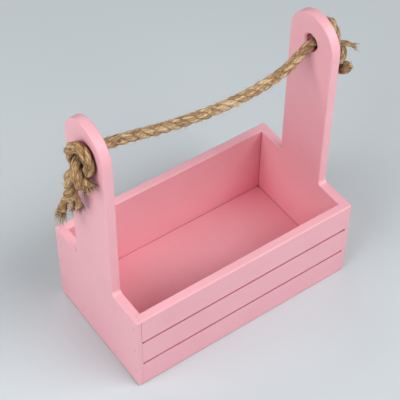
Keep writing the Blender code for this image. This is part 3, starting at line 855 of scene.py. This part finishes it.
# Studio: a pale blue-grey floor, large soft lamps above the front right and the left, a weaker one
# behind, and a faint even light all round.
FLOOR_GREY = "#CED5D8"
FLOOR_DARKER = "#CAD2D6"
FLOOR_DRIFT = 0.5               # metres between lighter and darker places
FLOOR_ROUGH = 0.9
FLOOR_SPECULAR = 0.1
FLOOR_HALF = 12.0
BACKDROP_GREY = "#C9D0D4"       # what is seen of the floor far off, beyond the lamps
BACKDROP_NEAR = 0.7
BACKDROP_FAR = 1.8
WORLD_GREY = "#D3D9DD"
WORLD_STRENGTH = 0.05
LAMP_AIM = Vector((0, 0, 0.08))
SOFT_BOXES = (                  # name, place, width, depth, watts
    ("right_soft_box", (0.7, -1.1, 1.25), 1.5, 1.0, 26.6),
    ("left_soft_box", (-1.22, -0.1, 1.0), 1.4, 1.1, 18.6),
    ("back_soft_box", (0.1, 1.4, 1.1), 1.2, 0.8, 6.3),
)


def studio_floor():
    """Matt painted floor with a barely visible drift of tone, seen as plain pale paper far off."""
    made, tree, shader = new_material("studio_floor")
    place = add_node(tree, "ShaderNodeTexCoord").outputs["Object"]
    drift = add_node(tree, "ShaderNodeTexNoise", {"Scale": 1 / FLOOR_DRIFT, "Detail": 1.0},
                     {"Vector": place})
    colour = add_node(tree, "ShaderNodeMix", {6: linear(FLOOR_GREY), 7: linear(FLOOR_DARKER)},
                      {0: drift.outputs["Fac"]}, data_type='RGBA')
    tree.links.new(colour.outputs[2], shader.inputs["Base Color"])
    shader.inputs["Roughness"].default_value = FLOOR_ROUGH
    shader.inputs["Specular IOR Level"].default_value = FLOOR_SPECULAR
    away = add_node(tree, "ShaderNodeVectorMath", None, {0: place}, operation='LENGTH')
    far = add_node(tree, "ShaderNodeMapRange", {"From Min": BACKDROP_NEAR, "From Max": BACKDROP_FAR},
                   {"Value": away.outputs["Value"]}, interpolation_type='SMOOTHSTEP')
    ray = add_node(tree, "ShaderNodeLightPath").outputs
    seen = add_node(tree, "ShaderNodeMath", None, {0: ray["Is Camera Ray"], 1: ray["Is Glossy Ray"]})
    seen = add_node(tree, "ShaderNodeMath", None, {0: seen.outputs[0], 1: ray["Is Transmission Ray"]},
                    use_clamp=True)
    share = add_node(tree, "ShaderNodeMath", None, {0: seen.outputs[0], 1: far.outputs["Result"]},
                     operation='MULTIPLY')
    paper = add_node(tree, "ShaderNodeEmission", {"Color": linear(BACKDROP_GREY)})
    both = add_node(tree, "ShaderNodeMixShader", None,
                    {0: share.outputs[0], 1: shader.outputs[0], 2: paper.outputs[0]})
    tree.links.new(both.outputs[0], tree.nodes["Material Output"].inputs["Surface"])
    return made


mesh = bpy.data.meshes.new("studio_floor")
corners = [(FLOOR_HALF * x, FLOOR_HALF * y, 0.0) for x, y in ((-1, -1), (1, -1), (1, 1), (-1, 1))]
mesh.from_pydata(corners, [], [(0, 1, 2, 3)])
mesh.materials.append(studio_floor())
floor = bpy.data.objects.new("studio_floor", mesh)
bpy.context.scene.collection.objects.link(floor)

world = bpy.data.worlds.new("studio_light")
world.use_nodes = True
world.node_tree.nodes["Background"].inputs["Color"].default_value = linear(WORLD_GREY)
world.node_tree.nodes["Background"].inputs["Strength"].default_value = WORLD_STRENGTH
bpy.context.scene.world = world

for name, place, wide, deep, watts in SOFT_BOXES:
    lamp = bpy.data.lights.new(name, 'AREA')
    lamp.shape = 'RECTANGLE'
    lamp.size = wide
    lamp.size_y = deep
    lamp.energy = watts
    lamp_object = bpy.data.objects.new(name, lamp)
    lamp_object.location = place
    aim = LAMP_AIM - lamp_object.location
    lamp_object.rotation_euler = aim.to_track_quat('-Z', 'Y').to_euler()
    bpy.context.scene.collection.objects.link(lamp_object)

# Camera: a long lens above the front left corner, as in the photograph. Its angles, distance and
# focal length fit the corners of the box there.
VIEW_AZIMUTH = np.radians(-35.9)
VIEW_ELEVATION = np.radians(47.75)
VIEW_ROLL = np.radians(0.7)
VIEW_DISTANCE = 1.27844
VIEW_TARGET = Vector((0.04004, 0.06349, 0.03711))
FOCAL_PIXELS = 1234.9
FRAME_PIXELS = 400
SENSOR = 36.0                   # millimetres

back = Vector((np.sin(VIEW_AZIMUTH) * np.cos(VIEW_ELEVATION),
               -np.cos(VIEW_AZIMUTH) * np.cos(VIEW_ELEVATION), np.sin(VIEW_ELEVATION)))
level = Vector((np.cos(VIEW_AZIMUTH), np.sin(VIEW_AZIMUTH), 0))
upright = back.cross(level)
right = level * np.cos(VIEW_ROLL) + upright * np.sin(VIEW_ROLL)
above = upright * np.cos(VIEW_ROLL) - level * np.sin(VIEW_ROLL)
camera = bpy.data.cameras.new("photo_camera")
camera.sensor_width = SENSOR
camera.lens = SENSOR * FOCAL_PIXELS / FRAME_PIXELS
camera_object = bpy.data.objects.new("photo_camera", camera)
turned = Matrix((right, above, back)).transposed().to_4x4()
camera_object.matrix_world = Matrix.Translation(VIEW_TARGET + back * VIEW_DISTANCE) @ turned
bpy.context.scene.collection.objects.link(camera_object)
bpy.context.scene.camera = camera_object
bpy.context.scene.view_settings.view_transform = 'Standard'
